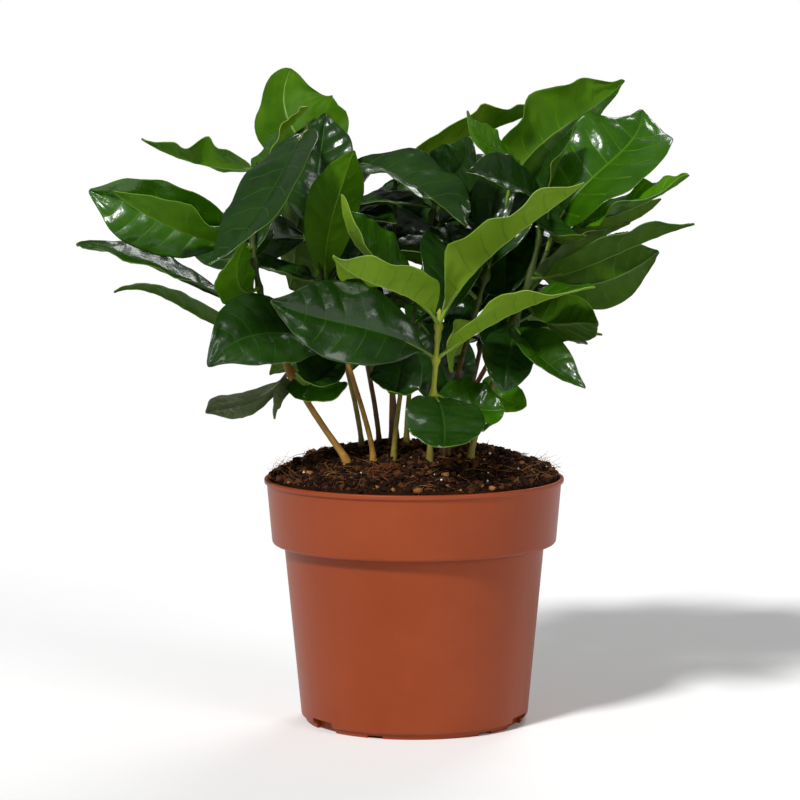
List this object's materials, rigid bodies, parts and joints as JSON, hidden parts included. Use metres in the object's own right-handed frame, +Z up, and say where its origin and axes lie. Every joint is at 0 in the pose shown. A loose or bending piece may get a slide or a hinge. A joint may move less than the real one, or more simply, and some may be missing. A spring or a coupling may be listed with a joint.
{
  "type": "potted coffee plant",
  "caption": "Clump of young coffee seedlings with broad glossy leaves on slender stems, growing in soil in a round plastic nursery pot with a wide rim band.",
  "frame": {"origin": "centre of the pot's flat underside, on the surface it stands on", "axes": "+Z up along the pot's axis; -Y is the front of the crown, +X to the viewer's right when facing the front"},
  "size_m": [0.2425, 0.2026, 0.2613],
  "materials": {
    "pot": "moulded terracotta-coloured plastic with a soft sheen",
    "soil": "moist dark peat and coir with a few white specks of perlite",
    "stem": "thin young bark, orange-brown below and yellow-green above, with swollen nodes",
    "foliage": "broad quilted leaves, dark and glossy above, paler and duller beneath"
  },
  "bodies": {
    "root": {"pot": "pot", "soil": "soil", "seedling_01_stem": "stem", "seedling_02_stem": "stem", "seedling_03_stem": "stem", "seedling_04_stem": "stem", "seedling_05_stem": "stem", "seedling_06_stem": "stem", "seedling_07_stem": "stem", "seedling_08_stem": "stem", "seedling_09_stem": "stem", "seedling_10_stem": "stem", "seedling_11_stem": "stem", "seedling_12_stem": "stem", "seedling_13_stem": "stem", "seedling_14_stem": "stem", "seedling_01_foliage": "foliage", "seedling_02_foliage": "foliage", "seedling_03_foliage": "foliage", "seedling_04_foliage": "foliage", "seedling_05_foliage": "foliage", "seedling_06_foliage": "foliage", "seedling_07_foliage": "foliage", "seedling_08_foliage": "foliage", "seedling_09_foliage": "foliage", "seedling_10_foliage": "foliage", "seedling_11_foliage": "foliage", "seedling_12_foliage": "foliage", "seedling_13_foliage": "foliage", "seedling_14_foliage": "foliage"}
  },
  "joints": []
}
